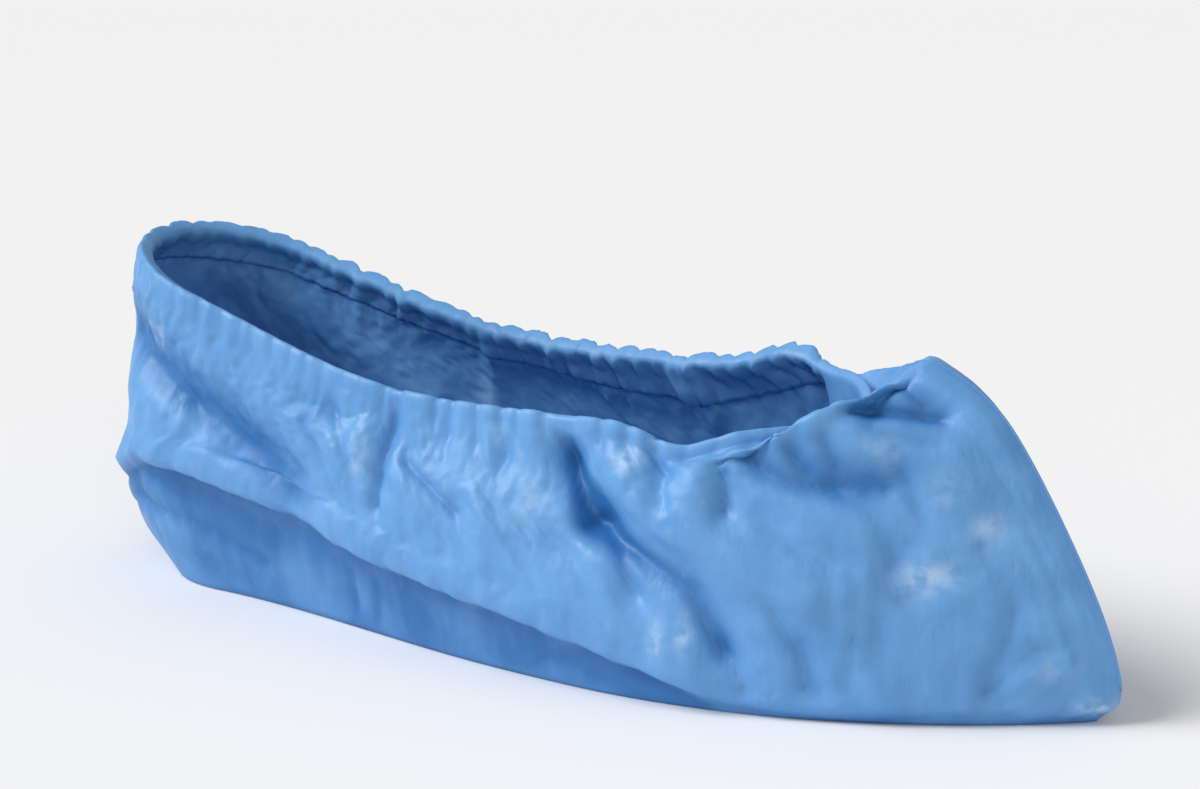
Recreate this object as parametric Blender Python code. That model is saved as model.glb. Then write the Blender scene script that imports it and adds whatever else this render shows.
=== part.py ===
"""A disposable shoe cover: a bag of thin blue film with a gathered mouth, standing as it does round a shoe.

The toe points to +X and the sole lies on z = 0. The origin is on the ground below the middle of the box
that holds the whole cover. -Y is the near side.
"""

from collections import namedtuple

import bpy
import numpy as np

# Driving sizes, in metres
LENGTH = 0.330  # film, from the corner at the heel to the tip of the toe
WIDTH = 0.104  # film, at the ball of the foot
RIM_HEIGHT = 0.098  # film's edge at the back of the heel
FILM_WALL = 0.0012
EAR_REACH = 0.006  # the bag's corner, out from the back of the heel
RIM_WAVE = 0.010  # a full wave of the mouth, up or down
FOLD_DEPTH = 0.0045  # deepest fold
RUFFLE_DEPTH = 0.0022  # gathers at the mouth, outwards
GATHER_RUN = 0.016  # how far down the film the gathers fade out
HEM_WALL = 0.0010
HEM_LAP = 0.0035  # inner leaf of the hem, below the film's edge
HEM_CREST = 0.0012  # top of a ruffle above the hem's channel
ELASTIC_DIAMETER = 0.0018
ELASTIC_CLEARANCE = 0.0006  # round the elastic in its channel
SEAM_REACH = 0.0016  # welded fin, out from the film
SEAM_THICKNESS = 0.0012
GAP = 0.0003  # between pieces that touch

# Counts
RUFFLES_PER_SIDE = 16
STATIONS = 128  # points round the cover, a multiple of four
BANDS_PER_RING = 2  # rows of faces from one ring to the next
ELASTIC_SIDES = 6
SEAM_LEVELS = (1, 5)  # the first and last ring of a seam

UP = np.array((0.0, 0.0, 1.0))

# The rings that the film is drawn through, from the mouth down. heel_x and toe_x are in half lengths, w in
# half widths, z in rim heights. The toe closes over toe_run lengths, as a round at a toe_power of a half and
# as a ridge near 1.
Ring = namedtuple(
    "Ring",
    "name heel_x toe_x heel_w waist_w ball_w toe_run toe_power heel_z hind_z waist_z ball_z toe_z",
)
RINGS = (
    Ring("rim", -0.945, 0.524, 0.63, 0.71, 0.71, 0.17, 0.50, 0.985, 0.905, 0.72, 0.72, 0.74),
    Ring("gather", -0.975, 0.612, 0.65, 0.80, 0.81, 0.22, 0.56, 0.91, 0.83, 0.64, 0.63, 0.93),
    Ring("brow", -0.982, 0.690, 0.67, 0.90, 0.90, 0.27, 0.66, 0.78, 0.71, 0.56, 0.54, 0.945),
    Ring("shoulder", -0.968, 0.805, 0.69, 0.96, 0.96, 0.32, 0.80, 0.59, 0.58, 0.45, 0.43, 0.80),
    Ring("flank", -0.972, 0.948, 0.69, 1.00, 1.00, 0.39, 0.90, 0.41, 0.45, 0.31, 0.22, 0.39),
    Ring("crease", -1.000, 1.000, 0.69, 1.00, 1.00, 0.43, 0.95, 0.26, 0.32, 0.175, 0.05, 0.10),
    Ring("tread", -0.965, 0.991, 0.58, 0.81, 0.94, 0.42, 0.90, 0.00, 0.00, 0.00, 0.00, 0.00),
)
WIDTH_KNOTS = (0.0, 0.12, 0.45, 0.72, 1.0)  # heel, heel, waist, ball, ball; shares of a ring's length
HEIGHT_KNOTS = (0.0, 0.12, 0.42, 0.75, 1.0)  # heel, hind, waist, ball, toe
HEEL_ROUND = 1.05  # the heel's round, in its half widths
STATION_SPREAD = 0.2  # moves stations from the heel and toe to the sides

# The film's folds. side is -1 near and +1 far, path holds x in half lengths and z in rim heights, width is
# in WIDTHs and depth in FOLD_DEPTHs: below zero a valley, above zero a ridge.
Fold = namedtuple("Fold", "name side width depth path")
FOLDS = (
    Fold("instep valley", -1, 0.065, -1.0, ((0.09, 0.72), (0.16, 0.53), (0.24, 0.47), (0.46, 0.10))),
    Fold("instep ridge", -1, 0.060, 0.8, ((0.14, 0.70), (0.20, 0.60), (0.33, 0.52), (0.54, 0.34))),
    Fold("heel valley", -1, 0.080, -0.8, ((-0.90, 0.78), (-0.66, 0.66), (-0.54, 0.60), (-0.45, 0.42))),
    Fold("heel ridge", -1, 0.080, 0.6, ((-0.80, 0.60), (-0.68, 0.47), (-0.52, 0.36))),
    Fold("waist crease", -1, 0.045, -0.5, ((-0.27, 0.72), (-0.27, 0.60), (-0.28, 0.37))),
    Fold("waist swag", -1, 0.045, -0.4, ((-0.21, 0.58), (-0.15, 0.49), (-0.06, 0.47))),
    Fold("ball crease", -1, 0.045, -0.5, ((0.36, 0.72), (0.39, 0.58))),
    Fold("toe swag", -1, 0.050, -0.45, ((0.42, 0.73), (0.50, 0.71), (0.64, 0.65))),
    Fold("toe tuck", -1, 0.050, -0.7, ((0.59, 0.82), (0.68, 0.85))),
    Fold("toe crease", -1, 0.050, -0.3, ((0.57, 0.47), (0.64, 0.25))),
    Fold("sole crease", -1, 0.050, -0.4, ((0.42, 0.28), (0.47, 0.05))),
    Fold("tip crease", -1, 0.050, -0.35, ((0.85, 0.31), (0.78, 0.11))),
    Fold("far instep valley", 1, 0.065, -0.9, ((0.02, 0.72), (0.12, 0.52), (0.30, 0.40), (0.42, 0.16))),
    Fold("far instep ridge", 1, 0.060, 0.7, ((0.12, 0.68), (0.24, 0.54), (0.42, 0.42))),
    Fold("far heel valley", 1, 0.075, -0.7, ((-0.86, 0.82), (-0.66, 0.62), (-0.50, 0.42))),
    Fold("far heel ridge", 1, 0.075, 0.5, ((-0.80, 0.58), (-0.62, 0.42))),
    Fold("far waist crease", 1, 0.045, -0.5, ((-0.34, 0.72), (-0.37, 0.40))),
    Fold("far waist swag", 1, 0.045, -0.4, ((-0.18, 0.66), (-0.10, 0.50), (0.00, 0.44))),
    Fold("far toe swag", 1, 0.050, -0.45, ((0.46, 0.74), (0.66, 0.62))),
    Fold("far toe tuck", 1, 0.050, -0.5, ((0.56, 0.80), (0.66, 0.86))),
    Fold("far sole crease", 1, 0.050, -0.35, ((0.50, 0.32), (0.56, 0.10))),
)

# Where the mouth rises and sinks: x and spread in half lengths, height in RIM_WAVEs, fade in rings down
Wave = namedtuple("Wave", "name side x spread height fade")
WAVES = (
    Wave("near dip", -1, 0.29, 0.07, -0.5, 2.0),
    Wave("far rise", 1, 0.285, 0.10, 0.65, 1.8),
    Wave("far toe rise", 1, 0.45, 0.07, 0.35, 1.5),
)

# What sets the ruffles off from an even beat, in waves round the mouth: sway in radians, size in shares
Uneven = namedtuple("Uneven", "waves sway size start")
RUFFLE_UNEVENNESS = (
    Uneven(2, 1.2, 0.00, 0.0),
    Uneven(3, 0.0, 0.18, 0.8),
    Uneven(5, 0.9, 0.00, 0.0),
    Uneven(7, 0.0, 0.12, 0.0),
)
MEAN_RUFFLE = 0.70  # of RUFFLE_DEPTH

# The hem's turn over the elastic, from its outer leaf to its inner one: degrees round the channel, the share
# of the ruffle that moves it out, and the share of the crest that lifts it
HemTurn = namedtuple("HemTurn", "degrees ruffle crest")
HEM_TURNS = (
    HemTurn(10, 1.0, 0.0),
    HemTurn(70, 0.9, 1.0),
    HemTurn(125, 0.4, 1.0),
    HemTurn(180, 0.0, 0.0),
)

# How near the middle line, the floor and the mouth the folds and waves fade out
CENTRE_FADE = 0.10  # WIDTHs
FLOOR_FADE = 0.08  # rim heights
RIM_FADE = 0.7  # rings

# The heel corner, in WIDTHs and rim heights
EAR_Z, EAR_HALF_HEIGHT, EAR_HALF_WIDTH = 0.26, 0.10, 0.12

# Linear colour and roughness
FILM_FINISH = ((0.13, 0.32, 0.67), 0.42)
HEM_FINISH = ((0.17, 0.38, 0.74), 0.42)
SEAM_FINISH = ((0.10, 0.27, 0.60), 0.35)
ELASTIC_FINISH = ((0.82, 0.82, 0.80), 0.70)


def clear_scene():
    for thing in list(bpy.data.objects):
        bpy.data.objects.remove(thing)


def plain_material(name, finish):
    colour, roughness = finish
    material = bpy.data.materials.new(name)
    material.use_nodes = True
    shader = material.node_tree.nodes["Principled BSDF"]
    shader.inputs["Base Color"].default_value = (*colour, 1.0)
    shader.inputs["Roughness"].default_value = roughness
    shader.inputs["Metallic"].default_value = 0.0
    return material


def mesh_object(name, points, faces, material):
    """An object at the origin, with its place in its mesh, shaded smooth."""
    mesh = bpy.data.meshes.new(name)
    mesh.from_pydata([tuple(point) for point in points], [], faces)
    mesh.materials.append(material)
    mesh.shade_smooth()
    thing = bpy.data.objects.new(name, mesh)
    bpy.context.scene.collection.objects.link(thing)
    return thing


def give_wall(thing, thickness, offset):
    """A wall on a sheet: offset -1 grows it inwards, 0 both ways."""
    wall = thing.modifiers.new("wall", "SOLIDIFY")
    wall.thickness = thickness
    wall.offset = offset
    wall.use_even_offset = True
    wall.use_rim = True


def unit(vectors):
    return vectors / np.linalg.norm(vectors, axis=-1, keepdims=True)


def soft_step(share):
    share = np.clip(share, 0.0, 1.0)
    return share * share * (3 - 2 * share)


def smooth_through(knots, values, at):
    """A smooth curve through the values at the knots, read at each place in at."""
    knots = np.asarray(knots, float)
    values = np.asarray(values, float)
    steps = np.diff(knots)
    rises = np.diff(values) / steps
    slopes = np.concatenate([rises[:1], (rises[1:] + rises[:-1]) / 2, rises[-1:]])
    cell = np.clip(np.searchsorted(knots, at, side="right") - 1, 0, len(steps) - 1)
    step = steps[cell]
    t = (at - knots[cell]) / step
    return (
        (1 + 2 * t) * (1 - t) ** 2 * values[cell]
        + t * (1 - t) ** 2 * slopes[cell] * step
        + t * t * (3 - 2 * t) * values[cell + 1]
        + t * t * (t - 1) * slopes[cell + 1] * step
    )


def station_shares():
    """How far round the cover each station lies: 0 at the toe, past the near side to a half at the heel."""
    return np.arange(STATIONS) / STATIONS


def station_turns():
    share = station_shares()
    return 2 * np.pi * share + STATION_SPREAD * np.sin(4 * np.pi * share)


def ring_line(ring, turn):
    """One ring's points, where turn is 0 at the toe and pi at the heel."""
    along = (1 + np.cos(turn)) / 2
    heel = ring.heel_x * (LENGTH / 2 - EAR_REACH)
    toe = ring.toe_x * LENGTH / 2
    x = heel + along * (toe - heel)
    widths = (ring.heel_w, ring.heel_w, ring.waist_w, ring.ball_w, ring.ball_w)
    half_width = smooth_through(WIDTH_KNOTS, widths, along) * WIDTH / 2
    from_heel = np.clip((x - heel) / (HEEL_ROUND * ring.heel_w * WIDTH / 2), 0, 1)
    from_toe = np.clip((toe - x) / (ring.toe_run * LENGTH), 0, 1)
    closing = np.sqrt(1 - (1 - from_heel) ** 2) * (1 - (1 - from_toe) ** 2) ** ring.toe_power
    y = -half_width * closing * np.sign(np.sin(turn))
    heights = (ring.heel_z, ring.hind_z, ring.waist_z, ring.ball_z, ring.toe_z)
    z = smooth_through(HEIGHT_KNOTS, heights, along) * RIM_HEIGHT
    return np.stack([x, y, z], axis=-1)


def film_levels():
    """Where each row of the film lies, in rings down from the mouth."""
    return np.arange((len(RINGS) - 1) * BANDS_PER_RING + 1) / BANDS_PER_RING


def smooth_film():
    """The film's rows of points without folds: one row for each level, one point for each station."""
    rings = np.stack([ring_line(ring, station_turns()) for ring in RINGS])
    levels = film_levels()
    flat = rings.reshape(len(RINGS), -1)
    numbers = np.arange(len(RINGS))
    columns = [smooth_through(numbers, column, levels) for column in flat.T]
    film = np.stack(columns, axis=-1).reshape(len(levels), STATIONS, 3)
    for wave in WAVES:
        off = (film[..., 0] / (LENGTH / 2) - wave.x) / wave.spread
        on_side = soft_step(wave.side * film[..., 1] / (CENTRE_FADE * WIDTH))
        fade = soft_step(1 - levels / wave.fade)[:, None]
        film[..., 2] += wave.height * RIM_WAVE * np.exp(-(off**2)) * on_side * fade
    return film


def out_of_mouth(rim):
    """The level direction out of the mouth at each point of the film's edge."""
    run = np.roll(rim, -1, axis=0) - np.roll(rim, 1, axis=0)
    return unit(np.stack([-run[:, 1], run[:, 0], np.zeros(len(rim))], axis=-1))


def outward(film):
    """The film's outward direction at each point, level along its edge."""
    across = np.roll(film, -1, axis=1) - np.roll(film, 1, axis=1)
    down = np.gradient(film, axis=0)
    normals = unit(np.cross(across, down))
    normals[0] = out_of_mouth(film[0])
    return normals


def distance_to_path(places, path):
    nearest = np.full(places.shape[:-1], np.inf)
    for start, end in zip(path[:-1], path[1:]):
        run = end - start
        share = np.clip((places - start) @ run / (run @ run), 0, 1)
        away = np.linalg.norm(places - start - share[..., None] * run, axis=-1)
        nearest = np.minimum(nearest, away)
    return nearest


def fold_relief(film):
    """How far the folds move each point of the film outwards."""
    relief = np.zeros(film.shape[:-1])
    for fold in FOLDS:
        path = np.array(fold.path) * (LENGTH / 2, RIM_HEIGHT)
        away = distance_to_path(film[..., (0, 2)], path) / (fold.width * WIDTH)
        on_side = soft_step(fold.side * film[..., 1] / (CENTRE_FADE * WIDTH))
        relief += fold.depth * FOLD_DEPTH * np.exp(-(away**2)) * on_side
    return relief * soft_step(film_levels() / RIM_FADE)[:, None]


def ear_relief(film):
    """The bag's corner, which stands out from the back of the heel."""
    off_y = film[..., 1] / (EAR_HALF_WIDTH * WIDTH)
    off_z = (film[..., 2] / RIM_HEIGHT - EAR_Z) / EAR_HALF_HEIGHT
    return EAR_REACH * np.exp(-(off_y**2) - off_z**2) * (film[..., 0] < 0)


def ruffle_reach():
    """How far the gathers push each station of the mouth outwards, with a crest at the heel and the toe."""
    turn = 2 * np.pi * station_shares()
    beat = 2 * RUFFLES_PER_SIDE * turn
    size = np.full(STATIONS, MEAN_RUFFLE)
    for uneven in RUFFLE_UNEVENNESS:
        beat = beat + uneven.sway * np.sin(uneven.waves * turn)
        size = size + uneven.size * np.sin(uneven.waves * turn + uneven.start)
    return RUFFLE_DEPTH * size * (1 + np.cos(beat)) / 2


def gather_relief(film):
    """The gathers where they run down from the mouth into the film."""
    below = np.linalg.norm(film - film[:1], axis=-1)
    return ruffle_reach() * np.exp(-below / GATHER_RUN)


def film_outside():
    """The film's outer rows of points, folds and all."""
    film = smooth_film()
    off_floor = soft_step(film[..., 2] / (FLOOR_FADE * RIM_HEIGHT))
    relief = fold_relief(film) + ear_relief(film) + gather_relief(film)
    return film + outward(film) * (relief * off_floor)[..., None]


def band_faces(rows, around, closed=False):
    """Four-cornered faces between rows of points that go round. If closed, the last row meets the first."""
    faces = []
    for row in range(rows if closed else rows - 1):
        upper = row * around
        lower = (row + 1) % rows * around
        for place in range(around):
            after = (place + 1) % around
            faces.append((upper + place, upper + after, lower + after, lower + place))
    return faces


def turned(faces):
    """The faces turned to look the other way."""
    return [tuple(reversed(face)) for face in faces]


def film_cover():
    outside = film_outside()
    rows = len(outside)
    faces = band_faces(rows, STATIONS)
    sole = tuple(range((rows - 1) * STATIONS, rows * STATIONS))
    material = plain_material("blue film", FILM_FINISH)
    cover = mesh_object("film_cover", outside.reshape(-1, 3), faces + [sole], material)
    give_wall(cover, FILM_WALL, -1)


def mouth_line():
    """The film's edge without ruffles, and the level direction out of the mouth at each of its points."""
    rim = smooth_film()[0]
    return rim, out_of_mouth(rim)


def channel_radius():
    """Radius of the hem's channel, to the middle of its wall."""
    return ELASTIC_DIAMETER / 2 + ELASTIC_CLEARANCE + HEM_WALL / 2


def channel_centre():
    """The middle of the channel: out of the mouth, and up from the film's edge."""
    return -channel_radius(), GAP + channel_radius()


def hem_section():
    """The hem's middle line: out, up and the share of the ruffle that moves each point."""
    radius = channel_radius()
    centre_out, centre_up = channel_centre()
    section = [(-HEM_WALL / 2, GAP, 1.0)]
    for turn in HEM_TURNS:
        angle = np.radians(turn.degrees)
        out = centre_out + radius * np.cos(angle)
        up = centre_up + radius * np.sin(angle) + turn.crest * HEM_CREST
        section.append((out, up, turn.ruffle))
    section.append((centre_out - radius, -HEM_LAP, 0.0))
    return section


def gathered_hem():
    rim, out = mouth_line()
    reach = ruffle_reach()[:, None]
    rows = [
        rim + out * (step_out + share * reach) + UP * step_up
        for step_out, step_up, share in hem_section()
    ]
    faces = turned(band_faces(len(rows), STATIONS))
    material = plain_material("blue hem film", HEM_FINISH)
    hem = mesh_object("gathered_hem", np.concatenate(rows), faces, material)
    give_wall(hem, HEM_WALL, 0)


def elastic_cord():
    rim, out = mouth_line()
    centre_out, centre_up = channel_centre()
    line = rim + out * centre_out
    line[:, 2] += centre_up
    rows = []
    for side in range(ELASTIC_SIDES):
        angle = 2 * np.pi * side / ELASTIC_SIDES
        rows.append(line + ELASTIC_DIAMETER / 2 * (out * np.cos(angle) + UP * np.sin(angle)))
    faces = turned(band_faces(ELASTIC_SIDES, STATIONS, closed=True))
    material = plain_material("white elastic", ELASTIC_FINISH)
    mesh_object("elastic_cord", np.concatenate(rows), faces, material)


def mitred(line, facing):
    """Directions out from a line in the XZ plane that keep an offset line parallel to it round its bends."""
    runs = unit(np.diff(line, axis=0))
    sides = facing * np.stack([-runs[:, 2], np.zeros(len(runs)), runs[:, 0]], axis=-1)
    before = np.concatenate([sides[:1], sides])
    after = np.concatenate([sides, sides[-1:]])
    middle = unit(before + after)
    return middle / (middle * after).sum(axis=-1, keepdims=True)


def welded_fin(name, station, facing, levels):
    """A thin fin of welded film out from the film's middle line: facing is 1 at the toe, -1 at the heel."""
    first, last = levels
    rows = slice(first * BANDS_PER_RING, last * BANDS_PER_RING + 1)
    line = film_outside()[rows, station]
    away = mitred(line, facing)
    half = np.array((0.0, facing * SEAM_THICKNESS / 2, 0.0))
    root = line + away * GAP
    edge = line + away * (GAP + SEAM_REACH)
    sections = np.stack([root + half, edge + half, edge - half, root - half], axis=1)
    corners = sections.shape[1]
    top = tuple(reversed(range(corners)))
    bottom = tuple(range((len(line) - 1) * corners, len(line) * corners))
    faces = band_faces(len(line), corners) + [top, bottom]
    mesh_object(name, sections.reshape(-1, 3), faces, plain_material(name + " film", SEAM_FINISH))


def build():
    clear_scene()
    film_cover()
    gathered_hem()
    elastic_cord()
    welded_fin("toe_seam", 0, 1, SEAM_LEVELS)
    welded_fin("heel_seam", STATIONS // 2, -1, SEAM_LEVELS)


build()
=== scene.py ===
"""Looks for the disposable shoe cover: a bag of thin blue film with a gathered mouth.

The toe points to +X, the sole lies on z = 0 and -Y is the near side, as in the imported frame. All sizes are
in metres unless a name or a comment says millimetres.
"""

import math
from collections import namedtuple

import bpy
import numpy as np
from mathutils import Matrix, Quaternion, Vector


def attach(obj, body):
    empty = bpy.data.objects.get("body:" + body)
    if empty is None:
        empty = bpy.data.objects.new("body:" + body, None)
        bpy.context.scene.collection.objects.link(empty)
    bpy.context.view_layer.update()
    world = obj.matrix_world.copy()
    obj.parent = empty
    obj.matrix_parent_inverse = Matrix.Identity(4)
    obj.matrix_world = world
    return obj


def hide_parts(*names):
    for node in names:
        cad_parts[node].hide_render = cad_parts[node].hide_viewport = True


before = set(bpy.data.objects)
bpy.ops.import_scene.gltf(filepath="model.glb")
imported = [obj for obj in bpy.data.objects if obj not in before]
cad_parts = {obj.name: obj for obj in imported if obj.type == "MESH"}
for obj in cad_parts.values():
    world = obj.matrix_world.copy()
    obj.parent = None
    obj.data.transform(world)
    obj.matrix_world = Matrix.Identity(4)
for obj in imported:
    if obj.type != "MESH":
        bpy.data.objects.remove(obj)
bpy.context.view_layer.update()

bl_info = {
    "name": "Shoe cover",
    "version": (1, 0, 0),
    "blender": (4, 5, 0),
    "location": "3D View > Sidebar > Shoe cover",
    "description": "Makes a disposable film shoe cover around its packed frame",
    "category": "Object",
}

MM = 0.001
UP = np.array((0.0, 0.0, 1.0))

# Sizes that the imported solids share
LENGTH = 0.330
WIDTH = 0.104
RIM_HEIGHT = 0.098
EAR_REACH = 0.006
RIM_WAVE = 0.010
ELASTIC_OUT = -0.0020  # the elastic's middle: out from the film's edge, and up from it
ELASTIC_UP = 0.0023
ELASTIC_RADIUS = 0.0009

# The sheet of film before it was gathered
FLAT_LENGTH = 0.36

# Counts
STATIONS = 528  # points round the cover, a multiple of eight
ROWS_PER_RING = (8, 10, 12, 12, 12, 18)
SOLE_STRIPS = 8

# The rings that the film is drawn through, from the mouth down. heel_x and toe_x are in half lengths, w in
# half widths, z in rim heights. The toe closes over toe_run lengths, as a round at a toe_power of a half
# and as a ridge near 1.
Ring = namedtuple(
    "Ring",
    "name heel_x toe_x heel_w waist_w ball_w toe_run toe_power heel_z hind_z waist_z ball_z toe_z",
)
RINGS = (
    Ring("rim", -0.945, 0.524, 0.63, 0.71, 0.71, 0.17, 0.50, 0.985, 0.905, 0.72, 0.72, 0.74),
    Ring("gather", -0.975, 0.612, 0.65, 0.80, 0.81, 0.22, 0.56, 0.91, 0.83, 0.64, 0.63, 0.937),
    Ring("brow", -0.982, 0.672, 0.67, 0.90, 0.90, 0.27, 0.62, 0.79, 0.73, 0.57, 0.54, 0.940),
    Ring("shoulder", -0.972, 0.790, 0.69, 0.96, 0.96, 0.32, 0.80, 0.63, 0.62, 0.47, 0.43, 0.80),
    Ring("flank", -0.975, 0.938, 0.69, 1.00, 1.00, 0.39, 0.90, 0.45, 0.51, 0.36, 0.22, 0.39),
    Ring("crease", -1.000, 1.000, 0.69, 1.00, 1.00, 0.43, 0.95, 0.215, 0.40, 0.25, 0.05, 0.10),
    Ring("tread", -0.890, 0.958, 0.51, 0.85, 0.95, 0.42, 0.90, 0.00, 0.00, 0.00, 0.00, 0.00),
)
WIDTH_KNOTS = (0.0, 0.12, 0.45, 0.72, 1.0)  # heel, heel, waist, ball, ball; shares of a ring's length
HEIGHT_KNOTS = (0.0, 0.12, 0.42, 0.75, 1.0)  # heel, hind, waist, ball, toe
HEEL_ROUND = 1.05  # the heel's round, in its half widths
STATION_SPREAD = 0.2  # moves stations from the heel and toe to the sides
STATION_DRIFT = 0.055  # for each ring down, which keeps the pleats steep
EAR_Z, EAR_HALF_HEIGHT, EAR_HALF_WIDTH = 0.20, 0.075, 0.085  # the bag's corner, in rim heights and WIDTHs

SIDE_FADE = 0.10  # WIDTHs from the middle line in which the waves and folds of a side fade away

# Where the mouth rises and sinks: x and spread in half lengths, height in RIM_WAVEs, fade in rings down
Wave = namedtuple("Wave", "name side x spread height fade")
WAVES = (
    Wave("near dip", -1, 0.29, 0.07, -0.5, 2.0),
    Wave("far rise", 1, 0.285, 0.10, 0.65, 1.8),
    Wave("far toe rise", 1, 0.45, 0.07, 0.35, 1.5),
)

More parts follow.
